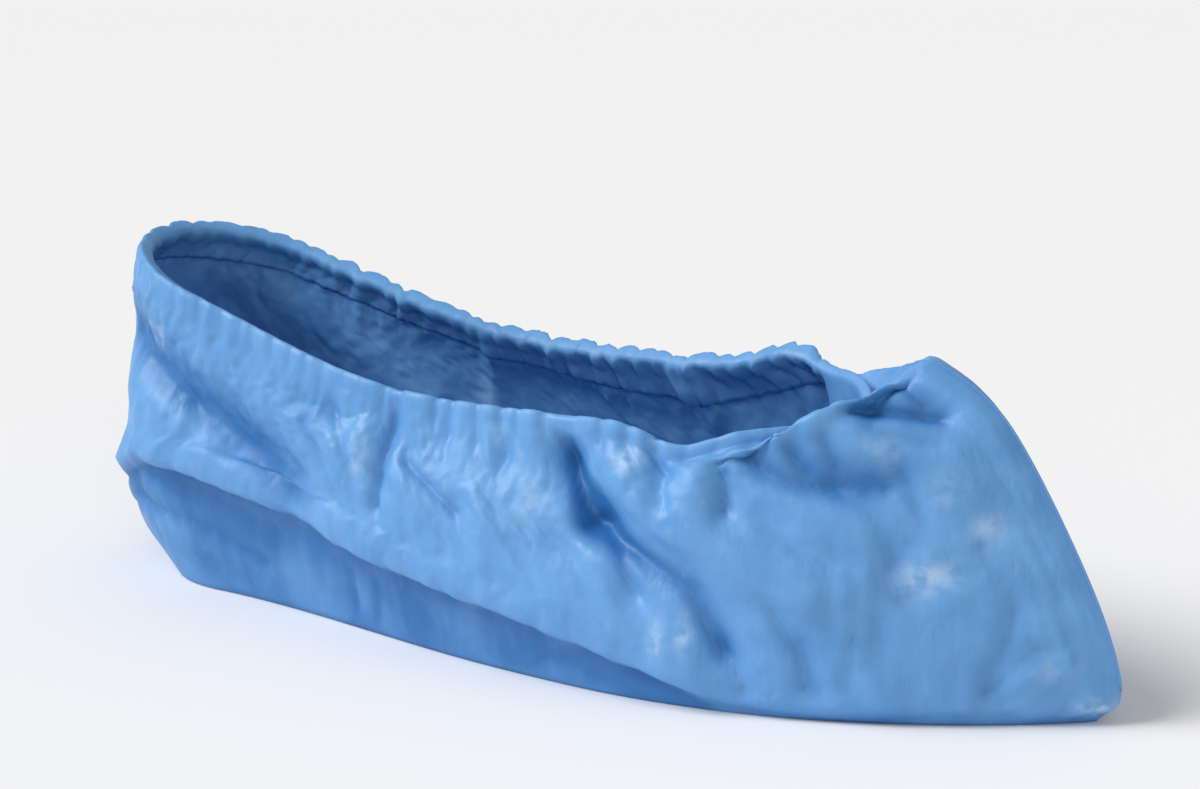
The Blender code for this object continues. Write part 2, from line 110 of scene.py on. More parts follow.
# The film's large folds. side is -1 near and +1 far. fore and aft are the widths in mm towards the toe and
# towards the heel, depth is in mm, and a low power makes a sharp fold. path holds x in half lengths and z
# in rim heights.
Fold = namedtuple("Fold", "name side fore aft depth power path")
BAG_EDGE = (
    (-1.0, 0.22), (-0.93, 0.33), (-0.84, 0.415), (-0.69, 0.40), (-0.54, 0.364),
    (-0.36, 0.295), (-0.19, 0.26), (0.02, 0.209), (0.20, 0.15), (0.37, 0.065),
)
UNDER_BAG_EDGE = tuple((x, z - 0.05) for x, z in BAG_EDGE)
FOLDS = (
    Fold(
        "instep valley", -1, 11, 2.0, -8.5, 1.3,
        ((0.052, 0.74), (0.068, 0.69), (0.085, 0.634), (0.137, 0.515)),
    ),
    Fold(
        "instep foot valley", -1, 7, 3, -4.8, 1.3,
        ((0.145, 0.50), (0.24, 0.435), (0.352, 0.345), (0.405, 0.18)),
    ),
    Fold("instep foot crease", -1, 4, 2.2, -2.2, 1.2, ((0.405, 0.20), (0.448, 0.067))),
    Fold(
        "instep ridge", -1, 10, 6, 4.6, 1.7,
        ((0.15, 0.63), (0.266, 0.528), (0.366, 0.476), (0.446, 0.405), (0.544, 0.35)),
    ),
    Fold("instep prong", -1, 5, 2.4, -3.2, 1.2, ((0.164, 0.506), (0.212, 0.435), (0.252, 0.323))),
    Fold("notch crease", -1, 5, 2.2, -4.6, 1.2, ((0.352, 0.73), (0.380, 0.647), (0.390, 0.571))),
    Fold("notch side crease", -1, 2.4, 5, -3.2, 1.2, ((0.268, 0.70), (0.273, 0.644), (0.293, 0.574))),
    Fold("notch heel puff", -1, 6, 6, 1.8, 1.8, ((0.219, 0.69), (0.226, 0.648))),
    Fold("notch toe puff", -1, 6, 6, 1.8, 1.8, ((0.316, 0.67), (0.337, 0.627))),
    Fold(
        "heel valley", -1, 14, 6.5, -7.0, 1.5,
        ((-0.885, 0.75), (-0.852, 0.714), (-0.761, 0.641), (-0.68, 0.572), (-0.57, 0.491), (-0.484, 0.388)),
    ),
    Fold(
        "heel ridge", -1, 6, 9, 2.2, 1.5,
        ((-0.84, 0.63), (-0.79, 0.60), (-0.729, 0.562), (-0.64, 0.475), (-0.528, 0.378)),
    ),
    Fold("hind swag", -1, 5, 2.6, -1.4, 1.3, ((-0.444, 0.687), (-0.352, 0.66), (-0.284, 0.69))),
    Fold(
        "waist crease", -1, 3.6, 1.8, -3.4, 1.2,
        ((-0.268, 0.74), (-0.267, 0.698), (-0.264, 0.591), (-0.268, 0.432)),
    ),
    Fold("waist swag", -1, 5, 2.0, -2.8, 1.2, ((-0.215, 0.582), (-0.15, 0.514), (-0.099, 0.464))),
    Fold("waist pleat", -1, 2.4, 2.4, -1.6, 1.2, ((-0.160, 0.72), (-0.147, 0.66))),
    Fold("waist toe pleat", -1, 2.4, 2.4, -1.8, 1.2, ((-0.111, 0.72), (-0.085, 0.65))),
    Fold("waist low pleat", -1, 2.4, 2.4, -1.8, 1.2, ((-0.028, 0.72), (-0.025, 0.62))),
    Fold(
        "ball swag", -1, 10, 3.0, -4.8, 1.2,
        ((0.405, 0.735), (0.439, 0.688), (0.504, 0.655), (0.575, 0.651), (0.634, 0.655)),
    ),
    Fold(
        "ball low swag", -1, 6, 3.0, -2.4, 1.2,
        ((0.562, 0.638), (0.62, 0.593), (0.654, 0.52), (0.662, 0.417)),
    ),
    Fold("ball wrinkle", -1, 1.5, 1.5, 1.1, 1.3, ((0.593, 0.505), (0.602, 0.349), (0.606, 0.189))),
    Fold("ball toe wrinkle", -1, 1.5, 1.5, 1.2, 1.3, ((0.623, 0.495), (0.631, 0.335), (0.632, 0.195))),
    Fold("ball heel wrinkle", -1, 1.6, 1.6, -1.2, 1.3, ((0.566, 0.459), (0.576, 0.288))),
    Fold("ball foot crease", -1, 4, 2.6, -2.2, 1.2, ((0.533, 0.228), (0.562, 0.084))),
    Fold("knot line", -1, 3.0, 2.4, -5.2, 1.2, ((0.57, 0.868), (0.631, 0.86), (0.700, 0.842))),
    Fold("knot tuck", -1, 2.6, 2.6, -4.8, 1.2, ((0.622, 0.945), (0.598, 0.88))),
    Fold("toe foot crease", -1, 3.0, 1.5, -1.8, 1.2, ((0.845, 0.34), (0.833, 0.211), (0.813, 0.122))),
    Fold("tip valley", -1, 5, 6, -1.2, 1.5, ((0.845, 0.078), (0.891, 0.11), (0.938, 0.10))),
    Fold("tip ridge", -1, 5, 4, 1.4, 1.5, ((0.86, 0.135), (0.906, 0.165), (0.949, 0.155))),
    Fold("hem toe pleat", -1, 3.4, 1.8, -2.6, 1.2, ((0.479, 0.757), (0.510, 0.693))),
    Fold("hem knot pleat", -1, 3.4, 1.8, -2.4, 1.2, ((0.531, 0.786), (0.558, 0.712))),
    Fold("hump pleat", -1, 2.2, 2.2, -2.8, 1.2, ((0.625, 0.935), (0.672, 0.880))),
    Fold("hump side pleat", -1, 3.0, 2.0, -2.0, 1.2, ((0.600, 0.818), (0.644, 0.789), (0.700, 0.775))),
    Fold("ball mid crease", -1, 4.0, 2.4, -1.8, 1.2, ((0.453, 0.563), (0.525, 0.490), (0.598, 0.449))),
    Fold("ball side crease", -1, 2.2, 1.5, -1.6, 1.2, ((0.485, 0.329), (0.523, 0.208), (0.543, 0.095))),
    Fold("ball low crease", -1, 1.8, 1.5, -1.2, 1.2, ((0.613, 0.251), (0.612, 0.099))),
    Fold("toe crease", -1, 2.4, 1.4, -1.4, 1.2, ((0.658, 0.703), (0.700, 0.568), (0.671, 0.465))),
    Fold("toe low crease", -1, 2.4, 1.4, -1.6, 1.2, ((0.805, 0.563), (0.768, 0.454), (0.678, 0.363))),
    Fold("tip crease", -1, 2.4, 1.4, -1.5, 1.2, ((0.945, 0.270), (0.883, 0.226), (0.820, 0.104))),
    Fold("hind pleat", -1, 3.0, 2.0, -1.6, 1.2, ((-0.393, 0.697), (-0.355, 0.601), (-0.315, 0.495))),
    Fold("hind low pleat", -1, 3.0, 2.0, -1.4, 1.2, ((-0.441, 0.632), (-0.402, 0.543), (-0.361, 0.421))),
    Fold("hind sole swag", -1, 5.0, 2.6, -2.2, 1.2, ((-0.819, 0.337), (-0.662, 0.295), (-0.538, 0.215))),
    Fold("hind sole crease", -1, 4.0, 2.6, -2.0, 1.2, ((-0.859, 0.240), (-0.702, 0.196), (-0.573, 0.120))),
    Fold("waist sole crease", -1, 2.0, 2.0, -1.2, 1.2, ((-0.365, 0.166), (-0.359, 0.039))),
    Fold("waist sole pleat", -1, 2.0, 2.0, -1.2, 1.2, ((-0.300, 0.154), (-0.302, 0.036))),
    Fold("bag edge", -1, 12, 2.4, 2.6, 1.1, BAG_EDGE),
    Fold("under bag edge", -1, 3.0, 14, -3.4, 1.3, UNDER_BAG_EDGE),
    Fold("far bag edge", 1, 12, 2.4, 2.2, 1.1, BAG_EDGE),
    Fold("under far bag edge", 1, 3.0, 14, -3.0, 1.3, UNDER_BAG_EDGE),
    Fold(
        "far instep valley", 1, 13, 4.8, -4.0, 1.3,
        ((0.02, 0.74), (0.12, 0.52), (0.30, 0.40), (0.42, 0.16)),
    ),
    Fold("far instep ridge", 1, 11, 10, 2.2, 1.6, ((0.12, 0.68), (0.24, 0.54), (0.42, 0.42))),
    Fold("far heel valley", 1, 11, 11, -3.2, 1.7, ((-0.90, 0.84), (-0.66, 0.62), (-0.50, 0.42))),
    Fold("far heel ridge", 1, 10, 10, 2.0, 1.6, ((-0.82, 0.58), (-0.62, 0.42))),
    Fold("far waist crease", 1, 5.8, 2.9, -2.2, 1.1, ((-0.34, 0.74), (-0.36, 0.58), (-0.37, 0.40))),
    Fold("far waist swag", 1, 6.4, 3.8, -1.8, 1.2, ((-0.18, 0.66), (-0.10, 0.50), (0.00, 0.44))),
    Fold("far toe swag", 1, 10, 4.8, -2.6, 1.2, ((0.44, 0.74), (0.55, 0.67), (0.66, 0.62))),
    Fold("far toe tuck", 1, 4.8, 4.8, -2.4, 1.2, ((0.56, 0.80), (0.66, 0.86))),
    Fold("far sole crease", 1, 4.8, 3.2, -1.6, 1.2, ((0.50, 0.32), (0.56, 0.10))),
    Fold("far tip crease", 1, 4.8, 4.8, -1.4, 1.2, ((0.80, 0.40), (0.76, 0.12))),
)

# The pleats that show one by one at the mouth: x in half lengths, the rest in mm. run is how far a pleat
# goes down the film, and lean how far it drifts to the toe for each mm down.
Pleat = namedtuple("Pleat", "side x depth width run lean")
PLEATS = (
    Pleat(-1, -0.285, 1.2, 2.0, 10, 0.00),
    Pleat(-1, -0.262, 2.4, 2.6, 26, -0.02),
    Pleat(-1, -0.176, 1.6, 2.0, 9, 0.10),
    Pleat(-1, -0.145, 1.5, 2.0, 14, 0.15),
    Pleat(-1, -0.092, 1.0, 2.0, 9, 0.10),
    Pleat(-1, -0.050, 1.8, 2.2, 24, 0.05),
    Pleat(-1, -0.012, 1.2, 2.0, 14, 0.05),
    Pleat(-1, 0.035, 1.4, 2.0, 18, 0.05),
    Pleat(-1, 0.072, 3.6, 3.2, 30, 0.25),
    Pleat(-1, 0.150, 1.6, 2.4, 12, 0.20),
    Pleat(-1, 0.196, 2.2, 2.2, 10, 0.10),
    Pleat(-1, 0.245, 2.4, 2.4, 16, 0.00),
    Pleat(-1, 0.300, 2.0, 2.4, 10, 0.10),
    Pleat(-1, 0.352, 3.0, 2.6, 20, 0.20),
    Pleat(-1, 0.398, 2.0, 2.4, 14, 0.50),
    Pleat(-1, 0.430, 1.8, 2.2, 9, 0.50),
    Pleat(-1, 0.462, 1.6, 2.0, 8, 0.40),
    Pleat(-1, 0.492, 2.0, 2.0, 9, 0.20),
)
PLEAT_SEED = 5
NEAR_PLEATS = 0.4  # share of the depth of the chance pleats on the near side
PLEAT_GAP = (4.0, 11.0)  # mm from one chance pleat to the next
PLEAT_CLEAR = 6.5  # mm between a chance pleat and one from the table
PLEAT_DEPTH = (0.3, 1.3)
PLEAT_WIDTH = (1.3, 2.4)
PLEAT_LEAN = 0.25  # the most, either way
PLEAT_POWER = 1.25  # a low one makes a sharp pleat
PLEAT_OPENS = 0.6  # of its run, where a pleat is twice as wide as at the mouth
PLEAT_FADE_POWER = 1.4
SHORT_RUN, LONG_RUN, LONG_SHARE = (4.0, 11.0), (15.0, 30.0), 0.15

# Places painted pale, as painted glints and where the film was stretched: side, x in half lengths, z in rim
# heights, sizes in mm, and strength from 0 to 1
Mark = namedtuple("Mark", "side x z wide tall strength")
MARKS = (
    Mark(-1, 0.718, 0.417, 7.0, 4.0, 0.8),
    Mark(-1, 0.794, 0.547, 5.0, 3.0, 0.6),
    Mark(-1, 0.725, 0.656, 3.5, 4.5, 0.35),
    Mark(-1, 0.626, 0.752, 5.0, 3.5, 0.3),
    Mark(-1, -0.310, 0.557, 3.5, 4.5, 0.5),
    Mark(-1, -0.050, 0.690, 3.0, 3.0, 0.4),
    Mark(-1, 0.039, 0.530, 5.0, 6.0, 0.3),
    Mark(-1, 0.211, 0.670, 4.0, 3.5, 0.6),
    Mark(-1, 0.300, 0.206, 2.0, 4.5, 0.9),
    Mark(-1, 0.346, 0.227, 2.0, 4.5, 0.7),
    Mark(-1, -0.801, 0.791, 4.0, 4.0, 0.5),
    Mark(-1, 0.911, 0.162, 5.0, 3.0, 0.35),
    Mark(-1, 0.972, 0.050, 5.0, 3.0, 0.8),
    Mark(1, 0.70, 0.46, 7.0, 4.0, 0.5),
    Mark(1, 0.35, 0.52, 6.0, 4.0, 0.35),
    Mark(1, -0.38, 0.52, 4.0, 6.0, 0.35),
)

# Chance creases: half a crease's length in rows and in stations, its height in mm, up or down, and how much
# higher it is at the mouth
Crumple = namedtuple("Crumple", "rows stations height at_mouth")
CRUMPLES = (
    Crumple(18, 10, 0.42, 0),
    Crumple(10, 7, -0.26, 0),
    Crumple(5, 2.4, 0.10, 2),
    Crumple(3, 2.0, -0.06, 4),
)
CRUMPLE_SEED = 3
CRUMPLE_RUN = 20.0  # mm down from the mouth
ROOM_POWER = 2  # how fast the creases sink where the stations are close

# Where the film's colour is dense and painted darker, as painted shade: in valleys past a depth in mm, in
# full a further depth below it, where the film also lies double, and below the bag's edge, in clouds
VALLEY_STARTS, VALLEY_RUN, VALLEY_SHARE = 1.2, 4.5, 0.9
UNDER_EDGE_FADE = 0.06  # rim heights
CLOUD_SHARE, CLOUD_SPREAD = 0.5, 0.16
CLOUD_ROWS, CLOUD_STATIONS = 10, 16

# The hem's turn over the elastic, from its outer leaf to the top of its inner one, in mm: out and up from
# the film's edge, the share of the ruffle that moves each point out, and the share that lifts it
HemPoint = namedtuple("HemPoint", "out up ruffle lift")
HEM_TURN = (
    HemPoint(-0.1, 1.2, 1.00, 0.1),
    HemPoint(-0.3, 2.4, 1.00, 0.3),
    HemPoint(-0.6, 3.5, 1.00, 0.6),
    HemPoint(-1.1, 4.4, 0.95, 0.9),
    HemPoint(-1.6, 4.7, 0.90, 1.0),
    HemPoint(-2.1, 4.3, 0.80, 0.9),
    HemPoint(-2.8, 3.4, 0.35, 0.6),
    HemPoint(-3.4, 2.3, 0.05, 0.3),
    HemPoint(-3.5, 1.1, 0.00, 0.1),
)
CREST_ROW = 5  # of HEM_TURN, counted from the film
RUFFLE_LIFT = 0.6  # how much the hem rises for each mm that the ruffle moves it out
ELASTIC_LOOK = 2  # stations on each side that the elastic is kept clear of
ELASTIC_BESIDE = 1.2  # mm along the hem within which it is kept clear
ELASTIC_CLEAR = 0.6  # mm from the elastic to the hem

# The hem's inner leaf. It follows the film where that hangs, and is straight where the film climbs over the
# toe.
LEAF_ROWS = 7
HANG_ROWS = 6  # rows down the film, about 6 mm, that tell whether it hangs
LEAF_CLEAR = 1.3  # mm from the film to the leaf
LEAF_CLEAR_AT_TOP, LEAF_CLEAR_LOST = 1.6, 0.8  # shares of it at the top, and lost towards the foot
LEAF_FIRST_CLEAR = 1.4  # how much more the first row has
STRAIGHT_LEAF_IN, STRAIGHT_LEAF_DOWN = 3.3, 0.8  # mm from the film's edge to the straight leaf's top
STRAIGHT_LEAF_LEAN, STRAIGHT_LEAF_ROW = 0.15, 1.4  # mm out and down for each row

# How the relief of the film fades, in mm unless a comment says otherwise
RIM_REACH = 1.6  # that the ruffled mouth stands out before its pleats draw it in
RIM_RUN = 16.0  # down the film
MOST_DRAWN_IN = 0.5  # at the film's edge
FLOOR_FADE = 0.08  # rim heights above the floor in which the relief fades away
CLIMB_RUN, CLIMB_SHARE = 9, 0.75  # down from the edge where the film climbs over the toe, and what is lost
EDGE_RUN, EDGE_SHARE = 10, 0.25  # down from the edge where folds grow to their depth, and where they start

# The wrinkling of the film: at each pass the sheet has more rows, and is given spare length round the mouth
Pass = namedtuple("Pass", "skip steps share hold nudge")
PASSES = (
    Pass(4, 220, 0.6, 0.004, 0.50),
    Pass(2, 160, 0.8, 0.006, 0.25),
    Pass(1, 90, 1.0, 0.012, 0.12),
)
SPARE_EVERYWHERE, SPARE_AT_RIM, SPARE_RUN = 0.014, 0.06, 0.016  # shares of the length, and metres down
UNEVEN, UNEVEN_STATIONS = 1.1, 9  # how much the spare length at the mouth varies, and over what run
NEAR_SPARE = 0.15  # share of it on the near side, where the table's pleats are
NUDGE_ROWS, NUDGE_STATIONS = 8, 3  # size of the chance moves that start the buckling
HELD_AT_MIDDLE, HELD_AT_FLOOR = 6, 10  # mm from the middle line and the floor where the film moves less
BENDING = 0.02


def linear(code):
    """An sRGB hex code as a linear colour with alpha."""
    shares = [int(code[place : place + 2], 16) / 255 for place in (1, 3, 5)]
    return (*[s / 12.92 if s <= 0.04045 else ((s + 0.055) / 1.055) ** 2.4 for s in shares], 1.0)


# Sheet


def unit(vectors):
    return vectors / np.maximum(np.linalg.norm(vectors, axis=-1, keepdims=True), 1e-12)


def soft_step(share):
    share = np.clip(share, 0.0, 1.0)
    return share * share * (3 - 2 * share)


def smooth_through(knots, values, at):
    """A smooth curve through the values at the knots, along their last axis, read at each place in at."""
    knots = np.asarray(knots, float)
    values = np.asarray(values, float)
    steps = np.diff(knots)
    rises = np.diff(values, axis=-1) / steps
    middle = (rises[..., 1:] + rises[..., :-1]) / 2
    slopes = np.concatenate([rises[..., :1], middle, rises[..., -1:]], axis=-1)
    cell = np.clip(np.searchsorted(knots, at, side="right") - 1, 0, len(steps) - 1)
    step = steps[cell]
    t = (at - knots[cell]) / step
    return (
        (1 + 2 * t) * (1 - t) ** 2 * values[..., cell]
        + t * (1 - t) ** 2 * slopes[..., cell] * step
        + t * t * (3 - 2 * t) * values[..., cell + 1]
        + t * t * (t - 1) * slopes[..., cell + 1] * step
    )


def station_turns():
    share = np.arange(STATIONS) / STATIONS
    return 2 * np.pi * share + STATION_SPREAD * np.sin(4 * np.pi * share)


def ring_line(ring, turn, drift):
    """One ring's points, where turn is 0 at the toe and pi at the heel. drift moves them to the heel."""
    along = (1 + np.cos(turn)) / 2
    along = along - drift * along * (1 - along)
    heel = ring.heel_x * (LENGTH / 2 - EAR_REACH)
    toe = ring.toe_x * LENGTH / 2
    x = heel + along * (toe - heel)
    widths = (ring.heel_w, ring.heel_w, ring.waist_w, ring.ball_w, ring.ball_w)
    half_width = smooth_through(WIDTH_KNOTS, widths, along) * WIDTH / 2
    from_heel = np.clip((x - heel) / (HEEL_ROUND * ring.heel_w * WIDTH / 2), 0, 1)
    from_toe = np.clip((toe - x) / (ring.toe_run * LENGTH), 0, 1)
    closing = np.sqrt(1 - (1 - from_heel) ** 2) * (1 - (1 - from_toe) ** 2) ** ring.toe_power
    y = -half_width * closing * np.sign(np.sin(turn))
    heights = (ring.heel_z, ring.hind_z, ring.waist_z, ring.ball_z, ring.toe_z)
    z = smooth_through(HEIGHT_KNOTS, heights, along) * RIM_HEIGHT
    return np.stack([x, y, z], axis=-1)


def film_levels():
    """Where each row of the film lies, in rings down from the mouth."""
    levels = [ring + row / rows for ring, rows in enumerate(ROWS_PER_RING) for row in range(rows)]
    return np.array(levels + [len(ROWS_PER_RING)], float)


def smooth_film():
    """The film's rows of points without folds."""
    turns = station_turns()
    lines = [ring_line(ring, turns, STATION_DRIFT * row) for row, ring in enumerate(RINGS)]
    rings = np.stack(lines, axis=-1)
    levels = film_levels()
    film = np.moveaxis(smooth_through(np.arange(len(RINGS)), rings, levels), -1, 0)
    for wave in WAVES:
        off = (film[..., 0] / (LENGTH / 2) - wave.x) / wave.spread
        on_side = soft_step(wave.side * film[..., 1] / (SIDE_FADE * WIDTH))
        fade = soft_step(1 - levels / wave.fade)[:, None]
        film[..., 2] += wave.height * RIM_WAVE * np.exp(-(off**2)) * on_side * fade
    return film


def out_of_mouth(rim):
    """The level direction out of the mouth at each point of the film's edge."""
    run = np.roll(rim, -1, axis=0) - np.roll(rim, 1, axis=0)
    return unit(np.stack([-run[:, 1], run[:, 0], np.zeros(len(rim))], axis=-1))


def outward(sheet):
    """The sheet's outward direction at each point."""
    across = np.roll(sheet, -1, axis=1) - np.roll(sheet, 1, axis=1)
    down = np.gradient(sheet, axis=0)
    return unit(np.cross(across, down))


def film_outward(film):
    """The film's outward direction, level along its edge."""
    normals = outward(film)
    normals[0] = out_of_mouth(film[0])
    return normals


def hanging(film):
    """How far the film hangs down from its edge, from 1 at the sides to 0 where it climbs over the toe."""
    drop = film[0] - film[HANG_ROWS]
    return soft_step(0.5 + drop[:, 2] / np.linalg.norm(drop, axis=-1))


def beside_path(places, path):
    """How far each place is from a path, and its side: 1 towards the toe, -1 towards the heel, between past
    the path's ends."""
    nearest = np.full(places.shape[:-1], np.inf)
    side = np.zeros(places.shape[:-1])
    for start, end in zip(path[:-1], path[1:]):
        run = end - start
        off = places - start
        share = np.clip(off @ run / (run @ run), 0, 1)
        away = np.linalg.norm(off - share[..., None] * run, axis=-1)
        across = (off[..., 1] * run[0] - off[..., 0] * run[1]) / np.linalg.norm(run)
        side = np.where(away < nearest, across / np.maximum(away, 1e-9), side)
        nearest = np.minimum(nearest, away)
    return nearest, side


def fold_relief(film, scale):
    """How far the large folds move each point of the film outwards."""
    relief = np.zeros(film.shape[:-1])
    for fold in FOLDS:
        path = np.array(fold.path) * (LENGTH / 2, RIM_HEIGHT)
        away, side = beside_path(film[..., (0, 2)], path)
        width = MM * (fold.fore + fold.aft + side * (fold.fore - fold.aft)) / 2
        on_side = soft_step(fold.side * film[..., 1] / (SIDE_FADE * WIDTH))
        relief += fold.depth * MM * np.exp(-((away / width) ** fold.power)) * on_side
    return relief * scale


def ear_relief(film):
    """The bag's corner, which stands out from the back of the heel."""
    off_y = film[..., 1] / (EAR_HALF_WIDTH * WIDTH)
    off_z = (film[..., 2] / RIM_HEIGHT - EAR_Z) / EAR_HALF_HEIGHT
    return EAR_REACH * np.exp(-(off_y**2) - off_z**2) * (film[..., 0] < 0)


def placed_pleats(rim, arc, around, chance):
    """Every pleat as its place round the mouth, depth, width, run and lean: the table's and chance ones."""
    near = rim[:, 1] < 0
    pleats = []
    for pleat in PLEATS:
        other_side = near if pleat.side > 0 else ~near
        station = np.argmin(np.abs(rim[:, 0] - pleat.x * LENGTH / 2) + other_side)
        pleats.append((arc[station], pleat.depth, pleat.width, pleat.run, -pleat.lean * pleat.side))
    taken = np.array([pleat[0] for pleat in pleats])
    place = 0.0
    while True:
        place += MM * chance.uniform(*PLEAT_GAP)
        depth = chance.uniform(*PLEAT_DEPTH)
        width = chance.uniform(*PLEAT_WIDTH)
        run = chance.uniform(*(LONG_RUN if chance.random() < LONG_SHARE else SHORT_RUN))
        lean = chance.uniform(-PLEAT_LEAN, PLEAT_LEAN)
        if place >= around:
            return pleats
        if np.abs(taken - place).min() > PLEAT_CLEAR * MM:
            if near[np.argmin(np.abs(arc - place))]:
                depth *= NEAR_PLEATS
            pleats.append((place, depth, width, run, lean))


def pleat_relief(film, below, scale):
    """How far the mouth's pleats and the puffs between them move each point of the film outwards."""
    rim = film[0]
    step = np.linalg.norm(np.roll(rim, -1, axis=0) - rim, axis=-1)
    arc = np.cumsum(step) - step
    around = step.sum()
    chance = np.random.default_rng(PLEAT_SEED)
    relief = RIM_REACH * MM * np.exp(-below / (RIM_RUN * MM))
    for place, depth, width, run, lean in placed_pleats(rim, arc, around, chance):
        off = (arc - place - lean * below + around / 2) % around - around / 2
        wide = MM * width * (1 + below / (PLEAT_OPENS * MM * run))
        fade = np.exp(-((below / (MM * run)) ** PLEAT_FADE_POWER))
        relief -= scale * MM * depth * np.exp(-((np.abs(off) / wide) ** PLEAT_POWER)) * fade
    return relief


def crumple_relief(film, below):
    """Chance creases all over the film: soft puffs between sharp valleys, and sharp ridges between dips.
    Small ones crowd at the mouth, and they are low where the stations are close."""
    chance = np.random.default_rng(CRUMPLE_SEED)
    apart = np.linalg.norm(np.roll(film, -1, axis=1) - film, axis=-1)
    room = np.clip(apart / np.median(apart), 0, 1) ** ROOM_POWER
    relief = np.zeros(below.shape)
    for crumple in CRUMPLES:
        noise = np.abs(smooth_noise(chance, below.shape, crumple.rows, crumple.stations))
        at_mouth = 1 + crumple.at_mouth * np.exp(-((below / (CRUMPLE_RUN * MM)) ** 2))
        relief += crumple.height * MM * (noise - noise.mean()) * at_mouth * room
    return relief


def hem_rows(film, smooth, relief, hangs):
    """The rows above the film: the inner leaf from its foot up, then the turn over the elastic."""
    rim = smooth[0]
    out = out_of_mouth(rim)
    reach = relief[0] / MM
    turn = []
    for point in reversed(HEM_TURN):
        away = (point.out + point.ruffle * reach) * MM
        rise = (point.up + point.lift * (reach - RIM_REACH / 2) * RUFFLE_LIFT) * MM
        turn.append(rim + out * away[:, None] + UP * rise[:, None])
    inward = -film_outward(film)[1 : LEAF_ROWS + 1]
    clear = LEAF_CLEAR * (LEAF_CLEAR_AT_TOP - LEAF_CLEAR_LOST * np.arange(1, LEAF_ROWS + 1) / LEAF_ROWS)
    clear[0] *= LEAF_FIRST_CLEAR
    leaf = film[1 : LEAF_ROWS + 1] + inward * (clear * MM)[:, None, None]
    down = np.arange(LEAF_ROWS)[:, None, None] * MM
    inwards = STRAIGHT_LEAF_LEAN * down - STRAIGHT_LEAF_IN * MM
    straight = rim + out * inwards - UP * (STRAIGHT_LEAF_ROW * down + STRAIGHT_LEAF_DOWN * MM)
    share = hangs[:, None]
    return np.concatenate([(leaf * share + straight * (1 - share))[::-1], np.stack(turn)])


def laplacian(moves):
    first = 2 * moves[:1] - moves[1:2]
    last = 2 * moves[-1:] - moves[-2:-1]
    rows = np.concatenate([first, moves, last])
    beside = np.roll(moves, 1, axis=1) + np.roll(moves, -1, axis=1)
    return (rows[2:] + rows[:-2] + beside) / 2 - 2 * moves


def smooth_noise(chance, shape, rows_wide, columns_wide):
    noise = chance.normal(size=shape)
    rows = np.fft.fftfreq(shape[0])[:, None] * rows_wide
    columns = np.fft.fftfreq(shape[1])[None] * columns_wide
    noise = np.real(np.fft.ifft2(np.fft.fft2(noise) * np.exp(-2 * (rows**2 + columns**2))))
    return noise / noise.std()


def pull(points, one, other, rest, free):
    """Moves each pair of points towards the length of film between them."""
    gap = points[other] - points[one]
    length = np.maximum(np.linalg.norm(gap, axis=-1), 1e-9)
    weight = np.maximum(free[one] + free[other], 1e-9)
    move = gap * ((length - rest) / length / weight)[..., None]
    points[one] += move * free[one][..., None]
    points[other] -= move * free[other][..., None]


def wrinkle(start, moved, spare, free, step, chance):
    """Lets the sheet buckle until it has taken up its spare length, and returns its moves."""
    rows, around = start.shape[:2]
    rest_round = np.linalg.norm(np.roll(start, -1, axis=1) - start, axis=-1) * (1 + spare)
    rest_down = np.linalg.norm(start[1:] - start[:-1], axis=-1)
    noise = smooth_noise(chance, (rows, around), NUDGE_ROWS, NUDGE_STATIONS) * step.nudge * MM * free
    points = start + moved
    points = points + outward(points) * noise[..., None]
    points = np.concatenate([points, points[:, :1]], axis=1)
    free = np.concatenate([free, free[:, :1]], axis=1)
    for _ in range(step.steps):
        pull(points, np.s_[:, 0:around:2], np.s_[:, 1:around:2], rest_round[:, 0::2], free)
        points[:, around] = points[:, 0]
        pull(points, np.s_[:, 1:around:2], np.s_[:, 2 : around + 1 : 2], rest_round[:, 1::2], free)
        points[:, 0] = points[:, around]
        for first in (0, 1):
            last = first + (rows - first) // 2 * 2
            one, other = np.s_[first:last:2, :around], np.s_[first + 1 : last : 2, :around]
            pull(points, one, other, rest_down[first::2], free)
        moves = points[:, :around] - start
        moves -= BENDING * laplacian(laplacian(moves))
        moves *= (1 - step.hold) * (free[:, :around, None] > 0)
        points[:, :around] = start + moves
        points[:, around] = points[:, 0]
    return points[:, :around] - start


def finer(moves, shape):
    """The moves of a coarse sheet, read for a finer one."""
    place = np.linspace(0, len(moves) - 1, shape[0])
    row = np.minimum(place.astype(int), len(moves) - 2)
    share = (place - row)[:, None, None]
    moves = moves[row] * (1 - share) + moves[row + 1] * share
    place = np.arange(shape[1]) * moves.shape[1] / shape[1]
    column = place.astype(int)
    share = (place - column)[None, :, None]
    return moves[:, column] * (1 - share) + moves[:, (column + 1) % moves.shape[1]] * share


def gathered(start, below, free):
    """The sheet as it buckles when the elastic draws it in."""
    chance = np.random.default_rng(PLEAT_SEED)
    uneven = np.exp(UNEVEN * smooth_noise(chance, (1, STATIONS), 1, UNEVEN_STATIONS)[0])
    uneven = uneven * np.where(start[-1, :, 1] < 0, NEAR_SPARE, 1)
    moves = np.zeros((2, 2, 3))
    for step in PASSES:
        every = np.s_[:: step.skip, :: step.skip]
        coarse = start[every]
        at_rim = SPARE_AT_RIM * uneven[:: step.skip] * np.exp(-below[every] / SPARE_RUN)
        spare = (SPARE_EVERYWHERE + at_rim) * step.share
        moves = finer(moves, coarse.shape[:2])
        moves = wrinkle(coarse, moves, spare, free[every], step, chance)
    return start + moves


